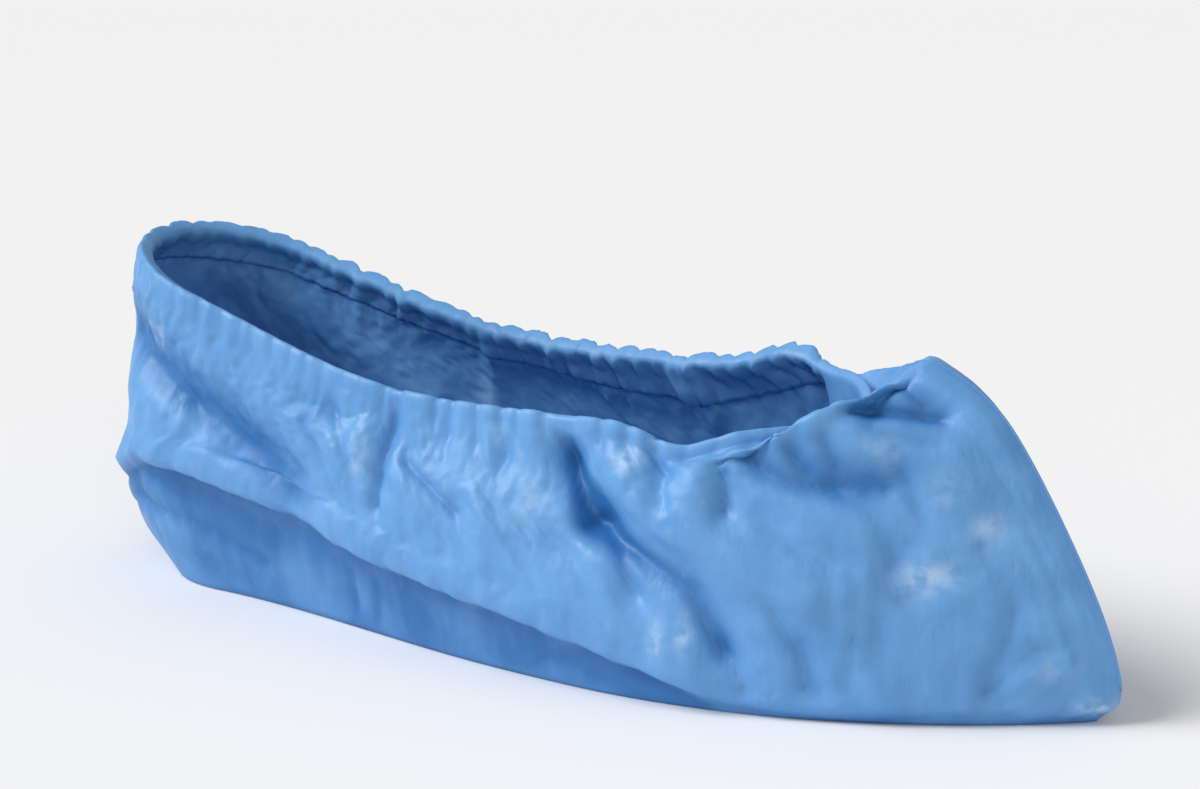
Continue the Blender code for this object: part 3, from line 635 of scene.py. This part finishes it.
def off_elastic(sheet, rim, hem, clear):
    """Keeps the hem clear of the elastic in it: its outer rows outside it, and its inner ones inside."""
    out = out_of_mouth(rim)
    least = ELASTIC_RADIUS + clear
    inner = np.arange(len(sheet)) < hem - CREST_ROW
    for shift in range(-ELASTIC_LOOK, ELASTIC_LOOK + 1):
        there = np.roll(out, shift, axis=0)
        middle = np.roll(rim, shift, axis=0) + there * ELASTIC_OUT + UP * ELASTIC_UP
        off = sheet - middle
        up = off[..., 2]
        along = (off * there).sum(axis=-1)
        needed = np.sqrt(np.maximum(least**2 - up**2, 0)) * np.where(inner[:, None], -1, 1)
        lacking = needed - along
        short = np.where(inner[:, None], np.minimum(lacking, 0), np.maximum(lacking, 0))
        beside = np.abs((off * np.cross(there, UP)).sum(axis=-1)) < ELASTIC_BESIDE * MM
        sheet = sheet + there * (short * (np.abs(up) < least) * beside)[..., None]
    return sheet


def glint_and_stretch_marks(film):
    """How pale each point of the film is painted, from 0 to 1: painted glints, and places where it was
    stretched.
    """
    glinted_and_stretched = np.zeros(film.shape[:-1])
    for mark in MARKS:
        off_x = (film[..., 0] - mark.x * LENGTH / 2) / (mark.wide * MM)
        off_z = (film[..., 2] - mark.z * RIM_HEIGHT) / (mark.tall * MM)
        glinted_and_stretched += mark.strength * np.exp(-(off_x**2) - off_z**2) * (mark.side * film[..., 1] > 0)
    return glinted_and_stretched


def film_density_and_shade(film, folds):
    """How dense the film's colour is painted, from 0 to 1, as painted shade: most in the valleys, where the
    film also lies double, and below the bag's edge, where it turns under away from the light."""
    knots, heights = np.transpose(BAG_EDGE)
    edge = np.interp(film[..., 0] / (LENGTH / 2), knots, heights)
    # painted shade: the band below the bag's edge, where the film turns under, is painted darker
    under = soft_step((edge - film[..., 2] / RIM_HEIGHT) / UNDER_EDGE_FADE)
    chance = np.random.default_rng(CRUMPLE_SEED)
    cloudy = smooth_noise(chance, film.shape[:2], CLOUD_ROWS, CLOUD_STATIONS)
    in_valleys = np.clip((-folds - VALLEY_STARTS * MM) / (VALLEY_RUN * MM), 0, 1) * VALLEY_SHARE
    return in_valleys + under * np.clip(CLOUD_SHARE + CLOUD_SPREAD * cloudy, 0, 1)


def film_sheet(fold_scale, pleat_scale):
    """The whole sheet in rows from the foot of the hem's inner leaf to the tread, the number of its rows
    above the film, and at each point its density with painted shade, and its stretch with painted glints."""
    smooth = smooth_film()
    below = np.linalg.norm(smooth - smooth[:1], axis=-1)
    off_floor = soft_step(smooth[..., 2] / (FLOOR_FADE * RIM_HEIGHT))
    hangs = hanging(smooth)
    off_climb = 1 - CLIMB_SHARE * (1 - hangs) * np.exp(-((below / (CLIMB_RUN * MM)) ** 2))
    from_edge = soft_step(below / (EDGE_RUN * MM) + EDGE_SHARE)
    relief = pleat_relief(smooth, below, pleat_scale)
    folds = fold_relief(smooth, fold_scale) * from_edge
    relief = relief + folds + ear_relief(smooth)
    relief = (relief + crumple_relief(smooth, below) * from_edge) * off_floor * off_climb
    relief[0] = np.maximum(relief[0], -MOST_DRAWN_IN * MM)
    film = smooth + film_outward(smooth) * relief[..., None]
    hem = hem_rows(film, smooth, relief, hangs)
    sheet = np.concatenate([hem, film])
    run = np.concatenate([np.zeros((len(hem), STATIONS)), below])
    off_middle = soft_step(np.abs(sheet[..., 1]) / (HELD_AT_MIDDLE * MM))
    free = off_middle * soft_step(sheet[..., 2] / (HELD_AT_FLOOR * MM))
    free *= np.concatenate([np.broadcast_to(hangs, hem.shape[:2]), off_climb])
    free[:: len(sheet) - 1] = 0
    sheet = gathered(sheet, run, free)
    sheet = off_elastic(sheet, smooth[0], len(hem), ELASTIC_CLEAR * MM)
    plain = np.zeros(hem.shape[:2])
    density_and_shade = np.concatenate([plain, film_density_and_shade(smooth, folds)])
    glinted_and_stretched = np.concatenate([plain, glint_and_stretch_marks(smooth)])
    return sheet, len(hem), density_and_shade, glinted_and_stretched


def band_faces(rows, around):
    """Four-cornered faces between rows of points that go round."""
    faces = []
    for row in range(rows - 1):
        for place in range(around):
            after = (place + 1) % around
            upper, lower = row * around, (row + 1) * around
            faces.append((upper + place, upper + after, lower + after, lower + place))
    return faces


def sole_sheet(tread, first):
    """The sole's points between the tread's two sides, and its faces; first is the tread's first point."""
    half = STATIONS // 2
    near = tread[1:half]
    far = tread[: half : -1]
    share = np.arange(1, SOLE_STRIPS) / SOLE_STRIPS
    inner = near[:, None] * (1 - share[:, None]) + far[:, None] * share[:, None]
    begin = first + STATIONS

    def corner(along, strip):
        if strip == 0:
            return first + along
        if strip == SOLE_STRIPS:
            return first + (STATIONS - along) % STATIONS
        return begin + (along - 1) * (SOLE_STRIPS - 1) + strip - 1

    faces = []
    for strip in range(SOLE_STRIPS):
        faces.append((first, corner(1, strip), corner(1, strip + 1)))
        faces.append((first + half, corner(half - 1, strip + 1), corner(half - 1, strip)))
        for along in range(1, half - 1):
            ahead = corner(along + 1, strip), corner(along + 1, strip + 1)
            faces.append((*ahead, corner(along, strip + 1), corner(along, strip)))
    return inner.reshape(-1, 3), faces


def mesh_object(name, points, faces, places):
    """A smooth object at the origin. places holds each point's place on the flat film, for its UV map."""
    mesh = bpy.data.meshes.new(name)
    mesh.from_pydata([tuple(point) for point in points], [], faces)
    mesh.validate()
    layer = mesh.uv_layers.new(name="flat")
    corners = np.zeros(len(mesh.loops), int)
    mesh.loops.foreach_get("vertex_index", corners)
    layer.data.foreach_set("uv", np.asarray(places, float)[corners].ravel())
    mesh.shade_smooth()
    thing = bpy.data.objects.new(name, mesh)
    bpy.context.scene.collection.objects.link(thing)
    return thing


def give_wall(thing, thickness, offset):
    """A wall on a sheet: offset -1 grows it inwards, 0 both ways."""
    wall = thing.modifiers.new("wall", "SOLIDIFY")
    wall.thickness = thickness
    wall.offset = offset
    wall.use_rim = True


def apply_modifiers(thing):
    bpy.ops.object.select_all(action="DESELECT")
    bpy.context.view_layer.objects.active = thing
    thing.select_set(True)
    for modifier in list(thing.modifiers):
        bpy.ops.object.modifier_apply(modifier=modifier.name)
    thing.select_set(False)


# Materials

WAVE_UNIT = math.pi / 10  # a wave texture of this scale has one wave in each unit


def add_node(tree, kind, inputs=(), **settings):
    """Adds a node with its settings. inputs pairs a socket's name or number with a value or an output."""
    node = tree.nodes.new(kind)
    for name, value in settings.items():
        setattr(node, name, value)
    for name, value in dict(inputs).items():
        socket = node.inputs[name]
        if isinstance(value, bpy.types.NodeSocket):
            tree.links.new(value, socket)
        else:
            socket.default_value = value
    return node


def new_material(name, roughness, ior):
    material = bpy.data.materials.new(name)
    material.use_nodes = True
    shader = material.node_tree.nodes["Principled BSDF"]
    shader.inputs["Roughness"].default_value = roughness
    shader.inputs["IOR"].default_value = ior
    return material, material.node_tree, shader


def film_material(settings):
    """Blown polyethylene film, satin and translucent: small upright wrinkles, a crinkled grain, denser
    colour painted in its folds and below the bag's edge as painted shade, and pale marks painted as glints
    and stretched places."""
    material, tree, shader = new_material("blown polyethylene film", 0.4, 1.51)
    place = add_node(tree, "ShaderNodeTexCoord").outputs["Object"]
    noise = {}
    # each pattern's size in mm, and its detail; the real embossing is too fine to show, so its grain is
    # drawn about twice as coarse
    for name, size, detail in (
        ("tint", (14, 14, 14), 3.0),
        ("marks", (2.5, 2.5, 5), 3.0),
        ("patches", (5, 5, 4), 2.0),
        ("glint_and_stretch_spread", (30, 30, 30), 1.0),
        ("gloss", (9, 9, 9), 2.0),
        ("dents", (13, 13, 13), 2.0),
        ("creases", (5, 5, 20), 2.0),
        ("wrinkles", (1.8, 1.8, 9), 2.0),
        ("grain", (0.7, 0.7, 0.7), 1.0),
    ):
        scale = tuple(1 / (side * MM) for side in size)
        drawn = add_node(tree, "ShaderNodeMapping", {"Vector": place, "Scale": scale}).outputs[0]
        inputs = {"Vector": drawn, "Scale": 1.0, "Detail": detail}
        noise[name] = add_node(tree, "ShaderNodeTexNoise", inputs).outputs[0]
    # the part of the noise that each one uses, and what it becomes
    for name, low, high, to_low, to_high in (
        ("tint", 0.3, 0.7, 0.0, 0.35),
        ("marks", 0.60, 0.72, 0.0, 1.0),
        ("patches", 0.38, 0.62, 0.15, 1.0),
        ("glint_and_stretch_spread", 0.50, 0.66, 0.0, 0.10),
        ("gloss", 0.3, 0.7, 0.40, 0.58),
    ):
        ends = {"From Min": low, "From Max": high, "To Min": to_low, "To Max": to_high}
        noise[name] = add_node(tree, "ShaderNodeMapRange", {"Value": noise[name], **ends}).outputs[0]
    for name in ("dents", "creases"):  # folded at its middle, noise has sharp valleys
        off = add_node(tree, "ShaderNodeMath", {0: noise[name], 1: 0.5}, operation="SUBTRACT").outputs[0]
        noise[name] = add_node(tree, "ShaderNodeMath", {0: off}, operation="ABSOLUTE").outputs[0]

    # painted shade: the colour deepens in the valleys, where the film also lies double, and below the bag's
    # edge
    density_and_shade = add_node(tree, "ShaderNodeAttribute", attribute_name="doubled_and_shaded").outputs["Fac"]
    both = {0: density_and_shade, 1: noise["tint"]}
    dense_and_shaded = add_node(tree, "ShaderNodeMath", both, operation="ADD", use_clamp=True)
    # painted glints: chance pale marks, and then the table's places, painted pale over the film's colour
    both = {0: noise["marks"], 1: noise["glint_and_stretch_spread"]}
    chance = add_node(tree, "ShaderNodeMath", both, operation="MULTIPLY")
    glinted_and_stretched = add_node(tree, "ShaderNodeAttribute", attribute_name="glinted_and_stretched").outputs["Fac"]
    pale = add_node(
        tree,
        "ShaderNodeMath",
        {0: glinted_and_stretched, 1: noise["patches"], 2: chance.outputs[0]},
        operation="MULTIPLY_ADD",
        use_clamp=True,
    )
    colour = tuple(settings.colour)
    for share, other in (
        (dense_and_shaded.outputs[0], settings.deep_and_shaded_colour),
        (pale.outputs[0], settings.glint_and_stretched_colour),
    ):
        mixed = add_node(tree, "ShaderNodeMix", {0: share, 6: colour, 7: tuple(other)}, data_type="RGBA")
        colour = mixed.outputs[2]
    tree.links.new(colour, shader.inputs["Base Color"])
    tree.links.new(noise["gloss"], shader.inputs["Roughness"])
    shader.inputs["Subsurface Weight"].default_value = 0.05
    shader.inputs["Subsurface Radius"].default_value = (0.3, 0.6, 1.0)
    shader.inputs["Subsurface Scale"].default_value = MM

    normal = {}  # depths in mm
    for name, depth in (("dents", 1.3), ("creases", 0.45), ("wrinkles", 0.15), ("grain", 0.025)):
        inputs = {"Height": noise[name], "Distance": depth * MM, "Strength": settings.wrinkling}
        inputs.update(normal)
        normal = {"Normal": add_node(tree, "ShaderNodeBump", inputs).outputs[0]}
    tree.links.new(normal["Normal"], shader.inputs["Normal"])
    return material


def weld_material(settings):
    """Heat-welded polyethylene: two layers fused hard and smooth, and pressed in ribs 1.6 mm apart."""
    material, tree, shader = new_material("heat-welded polyethylene", 0.33, 1.51)
    flat = add_node(tree, "ShaderNodeUVMap", uv_map="flat").outputs["UV"]
    shader.inputs["Base Color"].default_value = tuple(settings.colour)
    waves = {"Vector": flat, "Scale": WAVE_UNIT / (1.6 * MM), "Distortion": 0.4}
    ribs = add_node(tree, "ShaderNodeTexWave", waves, bands_direction="Y").outputs[1]
    bump = add_node(tree, "ShaderNodeBump", {"Height": ribs, "Distance": 0.06 * MM, "Strength": 0.6})
    tree.links.new(bump.outputs[0], shader.inputs["Normal"])
    return material


def elastic_material(settings):
    """Covered rubber elastic: a pale, matt braided sleeve, with threads that cross every millimetre."""
    material, tree, shader = new_material("braided elastic", 0.75, 1.5)
    place = add_node(tree, "ShaderNodeTexCoord").outputs["Object"]
    shader.inputs["Base Color"].default_value = tuple(settings.colour)
    cells = {"Vector": place, "Scale": 1 / (1.0 * MM), "Randomness": 0.35}
    braid = add_node(tree, "ShaderNodeTexVoronoi", cells).outputs["Distance"]
    bump = add_node(tree, "ShaderNodeBump", {"Height": braid, "Distance": 0.15 * MM, "Strength": 0.8})
    tree.links.new(bump.outputs[0], shader.inputs["Normal"])
    return material


def floor_material(settings):
    """A seamless paper sweep: plain, matt and nearly white, with a grain of 2 mm."""
    material, tree, shader = new_material("paper sweep", 0.9, 1.45)
    place = add_node(tree, "ShaderNodeTexCoord").outputs["Object"]
    shader.inputs["Base Color"].default_value = tuple(settings.floor_colour)
    shader.inputs["Specular IOR Level"].default_value = 0.1
    grain = add_node(tree, "ShaderNodeTexNoise", {"Vector": place, "Scale": 1 / (2 * MM)}).outputs[0]
    bump = add_node(tree, "ShaderNodeBump", {"Height": grain, "Distance": 0.02 * MM, "Strength": 0.3})
    tree.links.new(bump.outputs[0], shader.inputs["Normal"])
    return material


# Settings


class FilmSettings(bpy.types.PropertyGroup):
    wall: bpy.props.FloatProperty(
        name="Wall", description="Thickness of the film's wall", default=0.0004, unit="LENGTH", precision=5
    )
    folds: bpy.props.FloatProperty(
        name="Folds", description="Depth of the large folds", default=1.0, subtype="FACTOR"
    )
    pleats: bpy.props.FloatProperty(
        name="Pleats", description="Depth of the pleats at the mouth", default=1.0, subtype="FACTOR"
    )
    wrinkling: bpy.props.FloatProperty(
        name="Wrinkling", description="Strength of the fine wrinkles", default=0.6, subtype="FACTOR"
    )
    colour: bpy.props.FloatVectorProperty(
        name="Colour", description="Film colour", size=4, subtype="COLOR", default=linear("#67A2DB")
    )
    # the colour of the painted shade in the valleys and below the bag's edge
    deep_and_shaded_colour: bpy.props.FloatVectorProperty(
        name="Deep colour", description="Film colour where it lies double", size=4, subtype="COLOR",
        default=linear("#3173B3"),
    )
    # the pale colour of the painted glints and of the stretched places
    glint_and_stretched_colour: bpy.props.FloatVectorProperty(
        name="Stretched colour", description="Film colour where it is stretched", size=4, subtype="COLOR",
        default=linear("#B8D3EE"),
    )


class WeldSettings(bpy.types.PropertyGroup):
    reach: bpy.props.FloatProperty(
        name="Reach", description="How far the weld stands out", default=0.0005, unit="LENGTH", precision=5
    )
    thickness: bpy.props.FloatProperty(
        name="Thickness", description="Thickness of the weld", default=0.0005, unit="LENGTH", precision=5
    )
    colour: bpy.props.FloatVectorProperty(
        name="Colour", description="Weld colour", size=4, subtype="COLOR", default=linear("#6499D6")
    )


class ElasticSettings(bpy.types.PropertyGroup):
    colour: bpy.props.FloatVectorProperty(
        name="Colour", description="Elastic colour", size=4, subtype="COLOR", default=linear("#E4E6E8")
    )


class StageSettings(bpy.types.PropertyGroup):
    floor_colour: bpy.props.FloatVectorProperty(
        name="Floor colour", description="Floor and backdrop", size=4, subtype="COLOR",
        default=linear("#F3F3F4"),
    )
    world_light: bpy.props.FloatProperty(
        name="World light", description="Strength of the light from all round", default=0.44
    )
    key_power: bpy.props.FloatProperty(
        name="Key light", description="Strength of the wide light from above", default=2.45
    )
    fill_power: bpy.props.FloatProperty(
        name="Fill light", description="Power of the light beside the camera", default=3.5, unit="POWER"
    )


# Pieces


class SHOECOVER_OT_film(bpy.types.Operator):
    """The bag of film, from its sole to the hem turned over the elastic"""

    bl_idname = "shoecover.film"
    bl_label = "Film bag"

    def execute(self, context):
        settings = context.scene.shoe_cover_film
        sheet, hem, density_and_shade, glinted_and_stretched = film_sheet(settings.folds, settings.pleats)
        rows = len(sheet)
        share = np.arange(STATIONS) / STATIONS
        share = 2 * np.minimum(share, 1 - share)  # to the heel and back, so that the map has no seam
        step = np.linalg.norm(np.diff(sheet, axis=0), axis=-1).mean(axis=1)
        down = np.concatenate([[0], np.cumsum(step)])
        places = np.stack(np.broadcast_arrays(share * FLAT_LENGTH, down[:, None]), axis=-1)
        places = places.reshape(-1, 2)
        inner, sole_faces = sole_sheet(sheet[-1], (rows - 1) * STATIONS)
        points = np.concatenate([sheet.reshape(-1, 3), inner])
        places = np.concatenate([places, inner[:, :2]])
        bag = mesh_object("film_bag", points, band_faces(rows, STATIONS) + sole_faces, places)
        # the painted shade and the painted glints go on the mesh as attributes
        for name, values, on_sole in (
            ("doubled_and_shaded", density_and_shade, density_and_shade[-1].mean()),
            ("glinted_and_stretched", glinted_and_stretched, 0),
        ):
            values = np.concatenate([values.ravel(), np.full(len(inner), on_sole)])
            bag.data.attributes.new(name, "FLOAT", "POINT").data.foreach_set("value", values)
        give_wall(bag, settings.wall, -1)
        apply_modifiers(bag)
        bag.data.materials.append(film_material(settings))
        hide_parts("film_cover", "gathered_hem")
        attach(bag, "root")
        context.scene["shoe_cover_toe_line"] = [float(v) for v in sheet[hem:, 0].ravel()]
        context.scene["shoe_cover_heel_line"] = [float(v) for v in sheet[hem:, STATIONS // 2].ravel()]
        return {"FINISHED"}


WELD_RINGS = (1, 5)  # the welds run between these rings
WELD_ROOT = 0.0002  # how deep a weld's root lies in the film
WELD_TAPER = (0.04, 0.96)  # the part of half a sine wave that a weld's reach follows
WELD_FLAT = (0.0, 1.0, 1.2, 2.2)  # how far across the flat weld its section's corners lie, in reaches


def mitred(line, facing):
    """Directions out from a line in the XZ plane that keep an offset line parallel to it at its bends."""
    runs = unit(np.diff(line, axis=0))
    sides = facing * np.stack([-runs[:, 2], np.zeros(len(runs)), runs[:, 0]], axis=-1)
    before = np.concatenate([sides[:1], sides])
    after = np.concatenate([sides, sides[-1:]])
    middle = unit(before + after)
    return middle / (middle * after).sum(axis=-1, keepdims=True)


def weld_fin(name, line, facing, settings):
    """A thin fin of welded film on the film's middle line: facing is 1 at the toe and -1 at the heel."""
    away = mitred(line, facing)
    half = np.array((0.0, facing * settings.thickness / 2, 0.0))
    taper = np.sin(np.pi * np.linspace(*WELD_TAPER, len(line)))[:, None] ** 0.5
    root = line - away * WELD_ROOT
    edge = line + away * settings.reach * taper
    sections = np.stack([root + half, edge + half, edge - half, root - half], axis=1)
    count = len(line)
    faces = band_faces(count, 4) + [(3, 2, 1, 0), tuple(range((count - 1) * 4, count * 4))]
    down = np.concatenate([[0], np.cumsum(np.linalg.norm(np.diff(line, axis=0), axis=-1))])
    across = np.array(WELD_FLAT) * settings.reach
    places = np.stack(np.broadcast_arrays(across, down[:, None]), axis=-1).reshape(-1, 2)
    return mesh_object(name, sections.reshape(-1, 3), faces, places)


class SHOECOVER_OT_welds(bpy.types.Operator):
    """The two welded fins that close the bag at the toe and at the heel"""

    bl_idname = "shoecover.welds"
    bl_label = "Welds"

    def execute(self, context):
        settings = context.scene.shoe_cover_weld
        material = weld_material(settings)
        first, last = (sum(ROWS_PER_RING[:ring]) for ring in WELD_RINGS)
        for name, node, key, facing in (
            ("toe_weld", "toe_seam", "shoe_cover_toe_line", 1),
            ("heel_weld", "heel_seam", "shoe_cover_heel_line", -1),
        ):
            line = np.array(context.scene[key]).reshape(-1, 3)[first : last + 1]
            fin = weld_fin(name, line, facing, settings)
            fin.data.materials.append(material)
            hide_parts(node)
            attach(fin, "root")
        return {"FINISHED"}


class SHOECOVER_OT_elastic(bpy.types.Operator):
    """The elastic inside the hem"""

    bl_idname = "shoecover.elastic"
    bl_label = "Elastic"

    def execute(self, context):
        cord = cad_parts["elastic_cord"]
        cord.data.materials.clear()
        cord.data.materials.append(elastic_material(context.scene.shoe_cover_elastic))
        return {"FINISHED"}


# The camera: where it looks from, in degrees, what it is set by, and where that point lies in the picture
VIEW_AZIMUTH, VIEW_ELEVATION = 30.0, 17.0
VIEW_POINT = Vector((0.0105, 0.0, 0.040))
VIEW_DISTANCE = 1.2
LENS, SENSOR = 126.0, 36.0
PICTURE = (1200, 789)
POINT_IN_PICTURE = (625.0, 500.0)

# The floor and the lights: the key light's width in degrees, the side light's across
FLOOR_SIZE, FLOOR_DROP = 12.0, 0.0002
LIGHTS_MEET = Vector((0.0, 0.0, 0.05))
KEY_PLACE, KEY_WIDTH = (-0.85, -0.62, 1.05), 38
SIDE_PLACE, SIDE_WIDTH = (1.1, -1.5, 0.9), 0.7


def aim_camera():
    azimuth, elevation = math.radians(VIEW_AZIMUTH), math.radians(VIEW_ELEVATION)
    level = math.cos(elevation)
    back = Vector((math.sin(azimuth) * level, -math.cos(azimuth) * level, math.sin(elevation)))
    focal = LENS / SENSOR * PICTURE[0]
    turn = math.atan((POINT_IN_PICTURE[0] - PICTURE[0] / 2) / focal)
    tilt = math.atan((POINT_IN_PICTURE[1] - PICTURE[1] / 2) / focal)
    data = bpy.data.cameras.new("camera")
    data.lens = LENS
    data.sensor_width = SENSOR
    data.sensor_fit = "HORIZONTAL"
    camera = bpy.data.objects.new("camera", data)
    bpy.context.scene.collection.objects.link(camera)
    camera.location = VIEW_POINT + back * VIEW_DISTANCE
    camera.rotation_mode = "QUATERNION"
    aim = (-back).to_track_quat("-Z", "Y")
    camera.rotation_quaternion = aim @ Quaternion((1, 0, 0), tilt) @ Quaternion((0, 1, 0), turn)
    bpy.context.scene.camera = camera


def add_light(name, kind, place, power, **settings):
    """A light at a place, turned to the middle of the cover."""
    data = bpy.data.lights.new(name, kind)
    data.energy = power
    for setting, value in settings.items():
        setattr(data, setting, value)
    light = bpy.data.objects.new(name, data)
    bpy.context.scene.collection.objects.link(light)
    light.location = place
    light.rotation_mode = "QUATERNION"
    light.rotation_quaternion = (LIGHTS_MEET - Vector(place)).to_track_quat("-Z", "Y")


class SHOECOVER_OT_stage(bpy.types.Operator):
    """The pale floor, the soft studio light and the camera"""

    bl_idname = "shoecover.stage"
    bl_label = "Stage"

    def execute(self, context):
        settings = context.scene.shoe_cover_stage
        bpy.ops.object.select_all(action="DESELECT")
        bpy.ops.mesh.primitive_plane_add(size=FLOOR_SIZE, location=(0, 0, -FLOOR_DROP))
        floor = context.view_layer.objects.active
        floor.name = "floor"
        floor.data.materials.append(floor_material(settings))
        world = context.scene.world or bpy.data.worlds.new("world")
        context.scene.world = world
        world.use_nodes = True
        background = world.node_tree.nodes["Background"]
        background.inputs["Color"].default_value = (1.0, 1.0, 1.0, 1.0)
        background.inputs["Strength"].default_value = settings.world_light
        add_light("key", "SUN", KEY_PLACE, settings.key_power, angle=math.radians(KEY_WIDTH))
        add_light("side", "AREA", SIDE_PLACE, settings.fill_power, shape="DISK", size=SIDE_WIDTH)
        context.scene.view_settings.view_transform = "Standard"
        aim_camera()
        return {"FINISHED"}


class SHOECOVER_PT_panel(bpy.types.Panel):
    bl_idname = "SHOECOVER_PT_panel"
    bl_label = "Shoe cover"
    bl_space_type = "VIEW_3D"
    bl_region_type = "UI"
    bl_category = "Shoe cover"

    def draw(self, context):
        for operator, settings in PIECES:
            box = self.layout.box()
            group = getattr(context.scene, settings)
            for name in group.bl_rna.properties.keys():
                if name not in ("rna_type", "name"):
                    box.prop(group, name)
            box.operator(operator.bl_idname)


PIECES = (
    (SHOECOVER_OT_film, "shoe_cover_film"),
    (SHOECOVER_OT_welds, "shoe_cover_weld"),
    (SHOECOVER_OT_elastic, "shoe_cover_elastic"),
    (SHOECOVER_OT_stage, "shoe_cover_stage"),
)
SETTINGS = {
    "shoe_cover_film": FilmSettings,
    "shoe_cover_weld": WeldSettings,
    "shoe_cover_elastic": ElasticSettings,
    "shoe_cover_stage": StageSettings,
}
CLASSES = (*SETTINGS.values(), *[piece[0] for piece in PIECES], SHOECOVER_PT_panel)


def register():
    for part in CLASSES:
        bpy.utils.register_class(part)
    for name, group in SETTINGS.items():
        setattr(bpy.types.Scene, name, bpy.props.PointerProperty(type=group))


def unregister():
    for name in SETTINGS:
        delattr(bpy.types.Scene, name)
    for part in reversed(CLASSES):
        bpy.utils.unregister_class(part)


def main():
    register()
    bpy.ops.shoecover.film()
    bpy.ops.shoecover.welds()
    bpy.ops.shoecover.elastic()
    bpy.ops.shoecover.stage()


if __name__ == "__main__":
    main()
